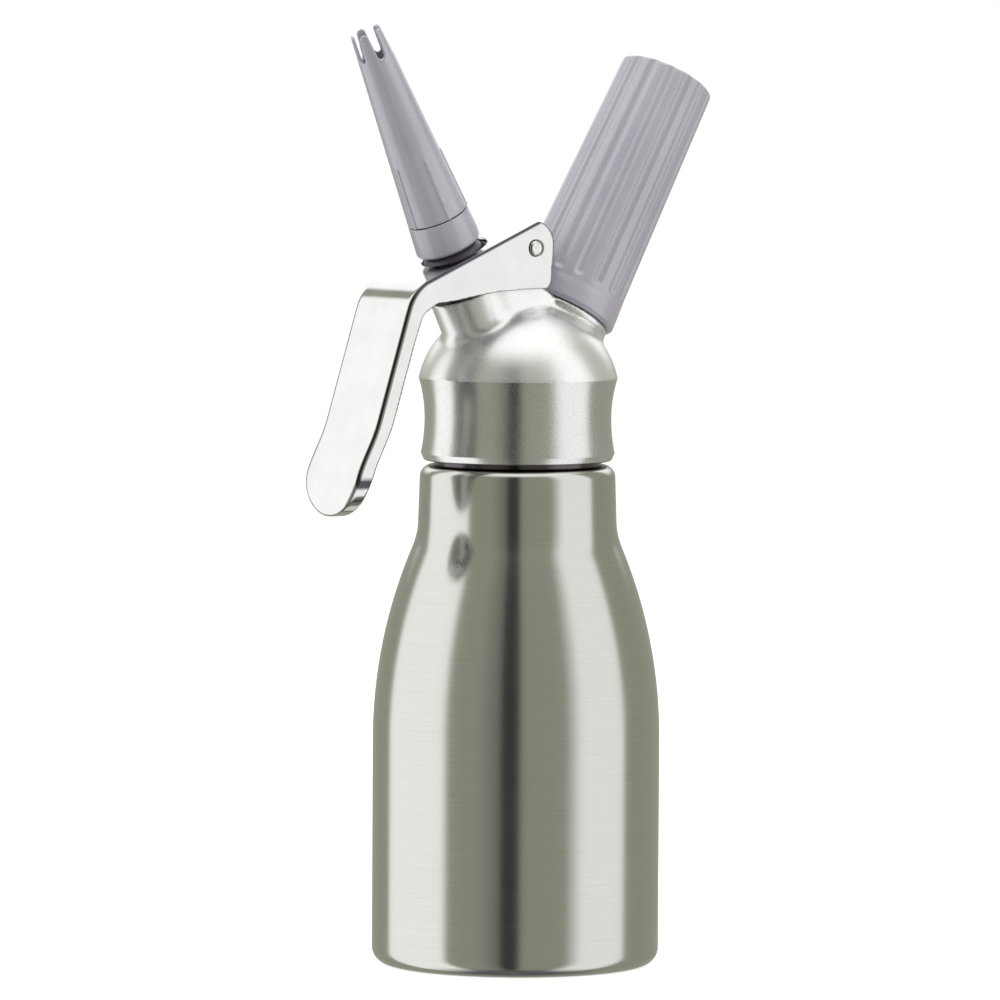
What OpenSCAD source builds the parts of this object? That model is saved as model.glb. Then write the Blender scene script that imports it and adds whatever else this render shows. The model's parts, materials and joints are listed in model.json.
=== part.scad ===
// Whipped cream dispenser: steel bottle, cast head, squeeze lever, tilting valve, tip and gas charger.
// Origin: the bottle's axis at the surface it stands on. +Z up, lever toward -X, charger toward +X.

/* [Bottle] */
// Outer radius of the bottle's straight wall
bottle_r = 42; // [41:0.5:42]
// Height where the wall starts to curve in
wall_top_z = 66; // [64:0.5:66]
// Radius of the long arc that curves the wall in
shoulder_arc_r = 145; // [145:1:150]
// Outer radius of the bottle's neck below the head
neck_r = 29; // [29:0.1:29.4]
// Wall thickness of the bottle
bottle_wall = 1.0; // [0.8:0.1:1.2]

/* [Head] */
// Height of the lower edge of the head's ring
ring_z = 147.6; // [147.4:0.1:147.8]
// Radius at the waist of the ring
waist_r = 27.3; // [27:0.1:27.5]
// Radius at the crease between ring and dome
crease_r = 29.1; // [28.8:0.1:29.3]
// Height of the crease between ring and dome
crease_z = 171.8; // [171:0.1:172]
// Height of the dome above its crease
dome_h = 22.5; // [22:0.1:23]
// Half the thickness of the saddle that carries the lever
saddle_half = 10.4; // [10:0.1:10.4]

/* [Valve] */
// Lean of the valve and its tip toward the lever, in degrees
valve_tilt = 25.7; // [25.5:0.1:25.9]
// Distance of the tip's base from the bottle's axis
tip_x = -24.5; // [-24.6:0.1:-24.4]
// Height of the tip's base
tip_z = 209.4; // [209.2:0.1:209.6]
// Radius of the valve stem
stem_r = 4.0; // [3.9:0.05:4]
// Length of the decorating tip above its collar
tip_len = 70.5; // [69:0.1:72]
// Number of teeth round the mouth of the tip
tip_teeth = 5; // [4:1:6]
// Number of turns in the valve spring
spring_turns = 6; // [5:1:7]

/* [Lever] */
// Distance of the lever's pin from the bottle's axis
pin_x = -3.6; // [-3.7:0.1:-3.5]
// Height of the lever's pin
pin_z = 210.1; // [210:0.1:210.2]
// Radius of the lever's pin
pin_r = 2.2; // [2:0.1:2.2]
// Outer width of the lever's channel
lever_w = 27; // [26.8:0.1:27.4]
// Thickness of the lever's sheet
lever_t = 1.7; // [1.6:0.05:1.7]
// Slope of the lever's top plate, in degrees
plate_slope = 23; // [22.8:0.1:23.2]
// Depth of the flange along the handle
flange_h = 5.6; // [5:0.1:6]

/* [Charger] */
// Lean of the charger holder away from the lever, in degrees
charger_tilt = 29.4; // [29:0.1:29.8]
// Distance of the holder's seat from the bottle's axis
port_x = 15.2; // [15:0.1:15.4]
// Height of the holder's seat
port_z = 190.6; // [190.4:0.1:190.8]
// Outer radius of the holder at its seat
holder_r = 16.1; // [15.9:0.1:16.2]
// Outer radius of the holder near its end
holder_end_r = 14.3; // [14.1:0.1:14.5]
// Length of the holder's straight side
holder_len = 78.5; // [78:0.5:79]
// Number of flutes round the holder
flutes = 16; // [12:1:20]

/* [Hidden] */

$fn = 96;
steel = "#a3a398";
cast = "#b4b4ac";
chrome = "#dcdcdc";
lilac = "#a59eab";
dark = "#5a525f";
brass = "#b59a5b";
white_rubber = "#e2e0da";

// ---- shared shapes ----

// points along an arc round a centre, from one angle to the other
function arc(centre, r, from, to, steps) =
    [for (i = [0 : steps]) let (a = from + (to - from) * i / steps)
        [centre[0] + r * cos(a), centre[1] + r * sin(a)]];

// a list's points in the opposite order
function backward(points) = [for (i = [len(points) - 1 : -1 : 0]) points[i]];

// a ring or tube round the Z axis
module tube(r_out, r_in, z_low, z_high) {
    rotate_extrude()
        translate([r_in, z_low])
            square([r_out - r_in, z_high - z_low]);
}

// a solid rod round the Z axis
module rod(r, z_low, z_high) {
    translate([0, 0, z_low])
        cylinder(r = r, h = z_high - z_low);
}

// a round cone or ring, given as points of radius and height
module turned(points) {
    rotate_extrude()
        polygon(points);
}

// the valve's frame: its Z runs up the stem, with 0 at the tip's base
module on_valve() {
    translate([tip_x, 0, tip_z])
        rotate([0, -valve_tilt, 0])
            children();
}

// the charger's frame: its Z runs up the charger, with 0 at the holder's seat
module on_port() {
    translate([port_x, 0, port_z])
        rotate([0, charger_tilt, 0])
            children();
}

// a side view of X and Z, made into a slab of the given half width about the middle plane
module side_slab(half) {
    rotate([90, 0, 0])
        linear_extrude(height = 2 * half, center = true)
            children();
}

// ---- bottle ----

base_round = 4.8;
arc_top_z = 122;
arc_lean = asin((arc_top_z - wall_top_z) / shoulder_arc_r);
arc_top_r = bottle_r - shoulder_arc_r * (1 - cos(arc_lean));
neck_arc_r = (arc_top_r - neck_r) / (1 - cos(arc_lean));
neck_z = arc_top_z + neck_arc_r * sin(arc_lean);
rim_round = 3.6;
rim_r = 28.6;
shoulder_z = 146.4;
finish_r = 24.4;
finish_wall = 1.4;
finish_top_z = 164;
thread_r = 24.8;
thread_low_z = 151.2;
thread_pitch = 3.2;

// outer side of the bottle drawn inward by an inset, from the floor up to the neck's shoulder
function bottle_side(inset) = concat(
    arc([bottle_r - base_round, base_round], base_round - inset, -90, 0, 6),
    arc([bottle_r - shoulder_arc_r, wall_top_z], shoulder_arc_r - inset, 0, arc_lean, 14),
    arc([neck_r + neck_arc_r, neck_z], neck_arc_r + inset, 180 + arc_lean, 180, 6),
    arc([rim_r - rim_round, shoulder_z - rim_round], rim_round - inset, 0, 90, 6)
);

module bottle() {
    color(steel)
        difference() {
            union() {
                turned(concat([[0, 0]], bottle_side(0), [[0, shoulder_z]]));
                rod(finish_r, shoulder_z - 1, finish_top_z);
                for (i = [0 : 2])
                    translate([0, 0, thread_low_z + thread_pitch * i])
                        turned([[finish_r - 1, 0], [thread_r, 0.8], [thread_r, 1.4], [finish_r - 1, 2.2]]);
            }
            turned(concat([[0, bottle_wall]], bottle_side(bottle_wall),
                [[0, shoulder_z - bottle_wall]]));
            rod(finish_r - finish_wall, shoulder_z - 3, finish_top_z + 1);
        }
}

// ---- head ----

gasket_z = 166;
ceiling_z = 168.4;
ceiling_r = 21;
neck_bore_r = 24.9;
dome_sink = 5.5;
dome_low = asin(dome_sink / (dome_h + dome_sink));
boss_r = 11.2;
boss_top = -12.6;
recess_r = 10;
recess_z = -15.6;
pocket_r = 6.8;
pocket_z = -22.2;
guide_bottom = -34;
guide_r = 6;
cream_way_r = 5;
seat_z = -45;
seat_well_r = 9.2;
valve_low = -60;
flange_r = 14.8;
flange_t = 1.6;
ear_r = 4.2;
port_boss_low = -16;
socket_r = 8;
socket_z = -12;
passage_r = 1.5;

module head_body() {
    turned(concat(
        [[0, ring_z], [waist_r, ring_z], [28.35, ring_z + 2.2]],
        [for (t = [0.75, 0.5, 0.25, 0]) [waist_r + 1.05 * t * t, 160 - 10.2 * t]],
        [for (t = [0.25, 0.5, 0.75, 1]) [waist_r + (crease_r - waist_r) * t * t,
            160 + (crease_z - 160) * t]],
        [for (i = [1 : 16])
            let (a = dome_low + (90 - dome_low) * i / 16)
            [crease_r * cos(a) / cos(dome_low), crease_z - dome_sink + (dome_h + dome_sink) * sin(a)]]
    ));
}

module saddle() {
    side_slab(saddle_half) {
        polygon([[-21, 178], [-15.4, 188], [-18.9, 197.9], [-10.4, 201.8], [-7.6, 208], [0.5, 208],
            [0.9, 199], [3, 197.4], [24, 184], [20, 176]]);
        translate([pin_x, pin_z])
            circle(r = ear_r);
    }
}

module head() {
    color(cast)
        difference() {
            union() {
                head_body();
                saddle();
                on_valve()
                    rod(boss_r, -40, boss_top);
                on_port() {
                    rod(flange_r, -flange_t - 0.1, -0.1);
                    rod(flange_r - 1.2, port_boss_low, -0.1);
                }
            }
            rod(neck_bore_r, ring_z - 1, gasket_z);
            rod(ceiling_r, ring_z, ceiling_z);
            on_valve() {
                rod(recess_r, recess_z, 10);
                rod(pocket_r, pocket_z, 10);
                rod(guide_r + 0.02, guide_bottom - 1, 0);
                rod(cream_way_r, valve_low, 0);
                rod(seat_well_r, valve_low, seat_z);
            }
            on_port() {
                rod(socket_r + 0.03, socket_z, 5);
                rod(21, -0.1, 20);
            }
            gas_passage();
            translate([pin_x, 0, pin_z])
                rotate([90, 0, 0])
                    cylinder(r = pin_r, h = 40, center = true);
        }
}

// gas way from the bottom of the port's socket straight down into the bottle
module gas_passage() {
    translate([port_x + socket_z * sin(charger_tilt), 0, ceiling_z - 2])
        cylinder(r = passage_r, h = port_z + socket_z * cos(charger_tilt) - ceiling_z + 3);
}

module head_gasket() {
    color(white_rubber)
        tube(24.7, 21.3, finish_top_z + 0.02, gasket_z - 0.02);
}

module lever_pin() {
    color(chrome)
        translate([pin_x, 0, pin_z])
            rotate([90, 0, 0])
                cylinder(r = pin_r, h = lever_w + 0.8, center = true);
}

module pivot_spacers() {
    color(white_rubber)
        for (side = [-1, 1])
            translate([pin_x, side * (saddle_half + 0.66), pin_z])
                rotate([90, 0, 0])
                    difference() {
                        cylinder(r = ear_r, h = 1.3, center = true);
                        cylinder(r = pin_r, h = 2, center = true);
                    }
}

module valve_guide() {
    color(brass)
        on_valve()
            tube(guide_r, stem_r + 0.05, guide_bottom, pocket_z);
}

// ---- valve spring: one tube wound round the stem, its two ends square to the cup and the pocket ----

wire_r = 0.55;
spring_r = 5.55;
spring_top = -5.85;
spring_low = pocket_z + 0.02;
spring_end = 2 * wire_r;
rings_a_turn = 8;
wire_sides = 6;
spring_rings = spring_turns * rings_a_turn;
spring_rise = spring_top - spring_low - 2 * spring_end;

function coil_point(i) =
    let (a = 360 * i / rings_a_turn)
    [spring_r * cos(a), spring_r * sin(a), spring_low + spring_end + spring_rise * i / spring_rings];

function coil_out(i) = let (a = 360 * i / rings_a_turn) [cos(a), sin(a), 0];

// rings of the wire: one at each end face, and one at each point of the coil
function wire_ring(centre, out, side) =
    [for (k = [0 : wire_sides - 1])
        let (b = 360 * k / wire_sides)
        centre + wire_r * (cos(b) * out + sin(b) * side)];

spring_points = concat(
    wire_ring(coil_point(0) - [0, 0, spring_end], coil_out(0), [0, -1, 0]),
    [for (i = [0 : spring_rings])
        each wire_ring(coil_point(i), coil_out(i),
            (i == 0 || i == spring_rings)
                ? [0, -0.7, 0.7]
                : [0, 0, 1])],
    wire_ring(coil_point(spring_rings) + [0, 0, spring_end], coil_out(spring_rings), [0, 1, 0])
);

spring_faces = concat(
    [[for (k = [wire_sides - 1 : -1 : 0]) k]],
    [for (j = [0 : spring_rings + 1], k = [0 : wire_sides - 1], half = [0, 1])
        let (a = j * wire_sides + k, b = j * wire_sides + (k + 1) % wire_sides)
        half == 0 ? [a, b, a + wire_sides] : [b, b + wire_sides, a + wire_sides]],
    [[for (k = [0 : wire_sides - 1]) (spring_rings + 2) * wire_sides + k]]
);

// least gap between turns, measured between points of the coil at least half a turn apart
spring_gap = min([for (i = [0 : spring_rings], j = [i + rings_a_turn / 2 : 1 : spring_rings])
    norm(coil_point(i) - coil_point(j))]) - 2 * wire_r;
echo(spring_least_gap_mm = spring_gap);

module valve_spring() {
    color(chrome)
        on_valve()
            polyhedron(points = spring_points, faces = spring_faces);
}

// ---- lever ----

plate_end_x = -2.0;
plate_end_z = 218.0;
ear_centre = [-4.1, 211];
ear_arc_r = 7.1;
bend_r = 12;
bend_start = [-42.0, 201];
handle_start = [-48.7, 193.9];
handle_lean = 0.321;
kick = 2.1;
kick_z = 145;
kick_span = 16;
handle_end_z = 133.4;
slot_r = 10.2;
slot_ends = [-1, 2];

// outer face of the handle at a height: a straight run with a gentle outward kick near its end
function handle_x(z) =
    let (t = min(1, abs(z - kick_z) / kick_span))
    handle_start[0] - handle_lean * (handle_start[1] - z) - kick * (1 + cos(180 * t)) / 2;

bend_centre = bend_start + bend_r * [sin(plate_slope), -cos(plate_slope)];
bend_turn = 90 - plate_slope - atan(handle_lean);
handle_zs = [for (i = [0 : 10]) 192 - i * (192 - handle_end_z + 0.6) / 10];

// outer line of the lever seen from the side, drawn inward by an inset, from the pin end to the tip
function lever_line(inset) = concat(
    [[plate_end_x + inset * sin(plate_slope), plate_end_z - inset * cos(plate_slope)]],
    arc(bend_centre, bend_r - inset, 90 + plate_slope, 90 + plate_slope + bend_turn, 5),
    [for (z = handle_zs) [handle_x(z) + inset * 1.05, z]]
);

cheek_low = [[1.0, 198.3], [-7.5, 198.1], [-16, 197.7], [-24.2, 196.6], [-32.3, 195.2], [-38.5, 194.6]];

module lever_side() {
    polygon(concat(
        lever_line(0),
        [for (z = backward(handle_zs)) if (z < 184) [handle_x(z) + flange_h, z]],
        [[-43.4, 191.6]],
        backward(cheek_low),
        [[2.1, 200.2]],
        arc(ear_centre, ear_arc_r, 0, 73, 6)
    ));
}

// inside of the channel seen from the side: everything under the sheet
module lever_hollow_side() {
    polygon(concat(
        [[12, plate_end_z + 9], [plate_end_x + 0.6, plate_end_z + 9]],
        lever_line(lever_t),
        [[-30, 120], [12, 120]]
    ));
}

// front view of the handle, rounded at its end
module handle_front(inset) {
    half = lever_w / 2 - inset;
    translate([-200, 0, 0])
        rotate([90, 0, 90])
            linear_extrude(height = 400)
                union() {
                    translate([0, handle_end_z + lever_w / 2])
                        circle(r = half);
                    translate([-half, handle_end_z + lever_w / 2])
                        square([2 * half, 120]);
                }
}

// opening in the top plate that the adapter passes through, long enough for the plate to tilt round it
module stem_slot() {
    for (x = slot_ends)
        translate([x, 0, -8])
            cylinder(r = slot_r, h = 16);
    translate([slot_ends[0], -slot_r, -8])
        cube([slot_ends[1] - slot_ends[0], 2 * slot_r, 16]);
}

module lever() {
    color(chrome)
        difference() {
            intersection() {
                side_slab(lever_w / 2)
                    lever_side();
                handle_front(0);
            }
            intersection() {
                side_slab(lever_w)
                    lever_hollow_side();
                handle_front(lever_t);
            }
            on_valve()
                stem_slot();
            translate([pin_x, 0, pin_z])
                rotate([90, 0, 0])
                    cylinder(r = pin_r + 0.05, h = 40, center = true);
        }
}

// ---- valve stem and what is fixed to it ----

stem_top = 7.5;
chamber_r = 3.0;
bore_r = 1.7;
nut_low = -52;
ring_track_r = 3.1;
ring_zs = [-27, -31];
ring_wire_r = 0.45;

module valve_stem() {
    color(steel)
        on_valve()
            difference() {
                union() {
                    rod(stem_r, guide_bottom - 1, stem_top);
                    rod(chamber_r, -51, guide_bottom);
                }
                rod(bore_r, -43, stem_top + 1);
                for (z = ring_zs)
                    tube(guide_r, ring_track_r, z - 0.75, z + 0.75);
                for (turn = [0, 90])
                    rotate([0, 90, turn])
                        translate([40.5, 0, 0])
                            cylinder(r = 1.3, h = 12, center = true);
            }
}

module stem_rings() {
    color(dark)
        on_valve()
            for (z = ring_zs)
                translate([0, 0, z])
                    rotate_extrude()
                        translate([ring_track_r + ring_wire_r + 0.02, 0])
                            circle(r = ring_wire_r, $fn = 24);
}

module valve_seal() {
    color(white_rubber)
        on_valve()
            turned([[chamber_r, -48], [6.6, -48], [7, -47.4], [7, seat_z - 0.05], [chamber_r, seat_z - 0.05]]);
}

module seal_nut() {
    color(chrome)
        on_valve()
            difference() {
                translate([0, 0, -50.6])
                    cylinder(r = 5, h = 2.6, $fn = 6);
                rod(chamber_r, nut_low, -40);
            }
}

cup_top = -4.5;
lug_top = -2.92;

module stem_cup() {
    color(dark)
        on_valve()
            difference() {
                union() {
                    rod(11.2, spring_top, cup_top);
                    intersection() {
                        tube(11.2, 10, spring_top, 0);
                        translate([0, 0, lug_top - 8])
                            rotate([90, 0, 0])
                                cylinder(r = 8, h = 30, center = true);
                        cube([7, 30, 30], center = true);
                    }
                }
                rod(stem_r, -10, 10);
            }
}

module tip_adapter() {
    color(dark)
        on_valve()
            turned([
                [stem_r, cup_top], [8.6, cup_top], [8.95, -3.8], [8.95, -1.2], [8.6, -0.4],
                [7.8, 0.3], [6.9, 0.7], [6.6, 0.9], [6.0, 1.0], [6.0, 7], [5.4, stem_top],
                [stem_r, stem_top]
            ]);
}

module adapter_washer() {
    color(white_rubber)
        on_valve()
            tube(5.8, 2.6, stem_top, 8.7);
}

// ---- decorating tip ----

collar_low = 1.1;
collar_h = 10.9;
tip_base_r = 9.9;
tip_seam_r = 9.1;
step_h = 29.2;
step_r = 7.72;
teeth_h = 62.3;
teeth_r = 5.26;
mouth_r = 4.65;
tip_wall = 0.85;
tooth_turn = -66.6;

module tip_collar() {
    color(lilac)
        on_valve()
            turned([
                [6.1, collar_low], [tip_base_r - 1, collar_low], [tip_base_r - 0.2, collar_low + 0.4],
                [tip_base_r - 0.1, collar_low + 1.2],
                [tip_seam_r + 0.05, collar_h - 0.3], [tip_seam_r - 0.3, collar_h], [7.3, collar_h],
                [7.3, 8.7], [6.1, 8.7]
            ]);
}

module decorating_tip() {
    color(lilac)
        on_valve()
            difference() {
                turned([
                    [2.6, 8.75], [7.2, 8.75], [7.2, collar_h + 0.1], [tip_seam_r - 0.2, collar_h + 0.1],
                    [tip_seam_r, collar_h + 0.4], [step_r + 0.3, step_h - 0.6], [step_r, step_h],
                    [teeth_r, teeth_h], [mouth_r + 0.08, tip_len - 1.2], [mouth_r - 0.2, tip_len],
                    [mouth_r - tip_wall, tip_len], [teeth_r - tip_wall, teeth_h], [step_r - 1.1, step_h],
                    [step_r - 1.1, 15], [2.6, 12]
                ]);
                for (i = [0 : tip_teeth - 1])
                    rotate([0, 0, tooth_turn + (i + 0.5) * 360 / tip_teeth])
                        slot_between_teeth();
            }
}

// the gap between two teeth, wider toward the mouth
module slot_between_teeth() {
    rotate([90, 0, 90])
        linear_extrude(height = 12)
            polygon([[-1.05, teeth_h + 0.5], [0, teeth_h], [1.05, teeth_h + 0.5], [1.75, tip_len + 1],
                [-1.75, tip_len + 1]]);
}

// ---- gas port, charger and holder ----

nipple_top = 12;
nipple_r = 11;
charger_low = 8;
charger_r = 9;
charger_len = 65.5;
charger_neck_r = 4.3;

module port_nipple() {
    color(brass)
        on_port()
            difference() {
                union() {
                    rod(socket_r, socket_z + 0.02, 0);
                    rod(nipple_r, 0, nipple_top);
                }
                rod(9.3, 5, nipple_top + 1);
                rod(3.5, socket_z, -4);
                rod(3.0, -5, 6);
            }
}

module piercing_pin() {
    color(steel)
        on_port()
            difference() {
                union() {
                    rod(2.98, -3.98, 5);
                    rod(1.2, 4.9, 8);
                    translate([0, 0, 8])
                        cylinder(r1 = 1.2, r2 = 0.25, h = 2.4);
                }
                rod(0.5, -5, 7);
                translate([0, 0, 6.8])
                    rotate([90, 0, 0])
                        cylinder(r = 0.35, h = 4, center = true);
            }
}

module port_seal() {
    color(dark)
        on_port()
            tube(4.6, 1.3, 5.02, charger_low - 0.05);
}

module check_valve() {
    color(white_rubber)
        on_port()
            turned([[0, -11], [1.6, -11], [2.2, -9.6], [1.2, -8.4], [1.2, -6.4], [3.2, -5.2], [3.2, -4.02],
                [0.6, -4.02], [0.6, -6.2], [0, -6.2]]);
}

module gas_charger() {
    color(steel)
        on_port()
            translate([0, 0, charger_low])
                turned(concat(
                    [[1.5, 0.35], [charger_neck_r - 0.4, 0.35], [charger_neck_r, 0.8], [charger_neck_r, 6.5]],
                    arc([charger_r - 8, 14.6], 8, -42, 0, 5),
                    arc([charger_r - 8, charger_len - 8], 8, 0, 82, 7),
                    [[0, charger_len - 0.08], [0, charger_len - 1.6]],
                    arc([charger_r - 8, charger_len - 8], 6.5, 82, 0, 5),
                    arc([charger_r - 8, 14.6], 6.5, 0, -42, 4),
                    [[2.6, 8], [1.5, 7]]
                ));
}

module charger_foil() {
    color(brass)
        on_port()
            tube(3.6, 1.35, charger_low, charger_low + 0.34);
}

liner_r = 12.9;
sleeve_r = 10.4;
liner_bore = 9.3;
thread_end_z = nipple_top + 2;
liner_step_z = thread_end_z + 1.2;
liner_top = 75.4;

module holder_liner() {
    color(chrome)
        on_port()
            difference() {
                union() {
                    rod(liner_r, 0.4, liner_step_z);
                    rod(sleeve_r, 0.4, liner_top);
                }
                rod(liner_bore, 0, liner_top - 1.1);
                rod(nipple_r + 0.08, 0, thread_end_z);
            }
}

// outer radius of the holder at a height on its straight side
function holder_side_r(z) = holder_r + (holder_end_r - holder_r) * z / holder_len;

flute_low = 8.5;
flute_r = 1.9;

module charger_holder() {
    color(lilac)
        on_port()
            difference() {
                turned(concat(
                    [[0, 0.15], [holder_r - 0.9, 0.15], [holder_r, 1.1], [holder_side_r(holder_len - 1), holder_len - 1],
                        [holder_end_r - 0.5, holder_len]],
                    [for (t = [0.8, 0.6, 0.4, 0.2, 0]) [(holder_end_r - 0.5) * t, holder_len + 2.2 * (1 - t * t)]]
                ));
                rod(liner_r + 0.02, -1, liner_step_z + 0.02);
                rod(sleeve_r + 0.02, -1, liner_top + 0.02);
                for (i = [0 : flutes - 1])
                    rotate([0, 0, (i + 0.5) * 360 / flutes])
                        flute();
            }
}

// one long round groove that runs out through the holder's end
module flute() {
    lean = atan((holder_r - holder_end_r) / holder_len);
    translate([holder_side_r(flute_low) + 1.15, 0, flute_low])
        rotate([0, -lean, 0])
            cylinder(r = flute_r, h = holder_len, $fn = 32);
}

bottle();
head_gasket();
head();
lever_pin();
pivot_spacers();
valve_guide();
valve_spring();
lever();
valve_stem();
stem_rings();
valve_seal();
seal_nut();
stem_cup();
tip_adapter();
adapter_washer();
decorating_tip();
tip_collar();
port_nipple();
piercing_pin();
port_seal();
check_valve();
gas_charger();
charger_foil();
holder_liner();
charger_holder();
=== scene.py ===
"""Whipped cream dispenser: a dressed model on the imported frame, seen as in the photograph."""
import json
import math

import bmesh
import bpy
import numpy as np
from mathutils import Matrix, Vector


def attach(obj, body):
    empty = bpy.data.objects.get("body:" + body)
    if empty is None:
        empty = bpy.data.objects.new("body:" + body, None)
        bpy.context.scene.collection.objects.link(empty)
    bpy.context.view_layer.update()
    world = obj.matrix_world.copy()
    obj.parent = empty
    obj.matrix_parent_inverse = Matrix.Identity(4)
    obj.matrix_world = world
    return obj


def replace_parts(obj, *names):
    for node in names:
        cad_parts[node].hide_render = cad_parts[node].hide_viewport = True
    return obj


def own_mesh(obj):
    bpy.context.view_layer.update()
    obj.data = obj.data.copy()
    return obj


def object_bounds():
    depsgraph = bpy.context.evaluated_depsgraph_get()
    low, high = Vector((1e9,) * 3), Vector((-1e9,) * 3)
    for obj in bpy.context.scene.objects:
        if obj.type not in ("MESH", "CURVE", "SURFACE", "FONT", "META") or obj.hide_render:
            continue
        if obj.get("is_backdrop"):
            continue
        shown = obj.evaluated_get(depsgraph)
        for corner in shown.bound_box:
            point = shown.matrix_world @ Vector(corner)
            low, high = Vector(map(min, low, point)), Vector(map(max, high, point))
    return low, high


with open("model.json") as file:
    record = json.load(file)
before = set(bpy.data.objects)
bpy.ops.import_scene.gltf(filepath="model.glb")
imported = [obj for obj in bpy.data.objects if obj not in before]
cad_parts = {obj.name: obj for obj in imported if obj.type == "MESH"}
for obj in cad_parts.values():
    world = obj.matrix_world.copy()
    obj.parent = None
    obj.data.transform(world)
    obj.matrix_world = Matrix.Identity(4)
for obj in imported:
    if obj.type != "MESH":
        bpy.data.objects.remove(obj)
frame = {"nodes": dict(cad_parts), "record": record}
cad_box = [list(corner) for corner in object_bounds()]

MM = 0.001


# ---- places on the object, in millimetres ----

def leaning(x, z, degrees):
    """frame whose Z leans toward +X by an angle, with its origin at x, z in the middle plane"""
    turn = Matrix.Rotation(math.radians(degrees), 4, "Y")
    return Matrix.Translation((x, 0, z)) @ turn


UPRIGHT = Matrix.Identity(4)
VALVE = leaning(-24.5, 209.4, -25.7)
PORT = leaning(15.2, 190.6, 29.4)
PIN = (-3.6, 210.1)
PIN_R = 2.2
CREASE_R, CREASE_Z = 29.1, 171.8
DOME_SINK, DOME_TALL = 5.5, 28.0
DOME_WIDE = CREASE_R / math.cos(math.asin(DOME_SINK / DOME_TALL))
WAIST_R, WAIST_Z, RING_Z = 27.3, 160, 147.6


# ---- mesh making ----

def mesh_piece(name, points, faces, place=UPRIGHT, sharp=None):
    """a smooth mesh object at the origin, from points in millimetres in the given frame

    Its faces turn outwards, and edges over the sharp angle, in degrees, stay crisp."""
    mesh = bpy.data.meshes.new(name)
    local = np.asarray(points, float)
    world = local @ np.array(place.to_3x3()).T + np.array(place.translation)
    mesh.from_pydata((world * MM).tolist(), [], [tuple(f) for f in faces])
    work = bmesh.new()
    work.from_mesh(mesh)
    bmesh.ops.remove_doubles(work, verts=work.verts, dist=1e-7)
    bmesh.ops.recalc_face_normals(work, faces=work.faces)
    for face in work.faces:
        face.smooth = True
    if sharp is not None:
        for edge in work.edges:
            if len(edge.link_faces) == 2 and edge.calc_face_angle(0) > math.radians(sharp):
                edge.smooth = False
    work.to_mesh(mesh)
    work.free()
    piece = bpy.data.objects.new(name, mesh)
    bpy.context.scene.collection.objects.link(piece)
    return piece


def softened(corners, steps=5):
    """a closed or open line of (x, y, radius) corners, each rounded by its radius"""
    line = []
    for i, (x, y, radius) in enumerate(corners):
        here = np.array([x, y], float)
        if radius == 0 or i in (0, len(corners) - 1):
            line.append(here)
            continue
        back = np.array(corners[i - 1][:2], float) - here
        ahead = np.array(corners[i + 1][:2], float) - here
        a, b = back / np.linalg.norm(back), ahead / np.linalg.norm(ahead)
        half = math.acos(max(-1.0, min(1.0, float(a @ b)))) / 2
        reach = min(radius / math.tan(half), 0.48 * min(np.linalg.norm(back), np.linalg.norm(ahead)))
        for t in np.linspace(0, 1, steps + 1):
            p, q, r = here + a * reach, here, here + b * reach
            line.append((1 - t) ** 2 * p + 2 * t * (1 - t) * q + t * t * r)
    return np.array(line)


def arc(cx, cz, r, first, last, steps):
    """points along an arc, its angles in degrees"""
    turn = np.radians(np.linspace(first, last, steps + 1))
    return np.stack([cx + r * np.cos(turn), cz + r * np.sin(turn)], 1)


def turned_shell(profile, sides):
    """points and faces of a closed profile of (radius, height), turned round Z"""
    rings, points, faces = [], [], []
    for radius, height in profile:
        if radius < 1e-6:
            rings.append([len(points)])
            points.append((0, 0, height))
            continue
        rings.append(list(range(len(points), len(points) + sides)))
        for k in range(sides):
            a = 2 * math.pi * k / sides
            points.append((radius * math.cos(a), radius * math.sin(a), height))
    for low, high in zip(rings, rings[1:] + rings[:1]):
        for k in range(sides):
            n = (k + 1) % sides
            if len(low) == 1 and len(high) == 1:
                break
            if len(low) == 1:
                faces.append((low[0], high[n], high[k]))
            elif len(high) == 1:
                faces.append((low[k], low[n], high[0]))
            else:
                faces.append((low[k], low[n], high[n], high[k]))
    return points, faces


def turned(name, profile, sides=128, place=UPRIGHT, sharp=None):
    """a piece turned round the Z axis of its frame"""
    points, faces = turned_shell(profile, sides)
    return mesh_piece(name, points, faces, place, sharp)


# ---- distance fields, for the cast head, the folded lever and the tip ----

def segments_distance(points, line):
    """unsigned distance from each 2-D point to a closed line of points"""
    best = np.full(len(points), 1e9)
    for a, b in zip(line, np.roll(line, -1, axis=0)):
        along = b - a
        t = np.clip(((points - a) @ along) / max(along @ along, 1e-12), 0, 1)
        best = np.minimum(best, np.hypot(*(points - a - t[:, None] * along).T))
    return best


def outline_distance(points, line):
    """signed distance to a closed outline, negative inside"""
    inside = np.zeros(len(points), bool)
    for a, b in zip(line, np.roll(line, -1, axis=0)):
        crosses = (a[1] > points[:, 1]) != (b[1] > points[:, 1])
        if not crosses.any():
            continue
        x = a[0] + (points[:, 1] - a[1]) / (b[1] - a[1]) * (b[0] - a[0])
        inside ^= crosses & (points[:, 0] < x)
    return np.where(inside, -1, 1) * segments_distance(points, line)


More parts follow.
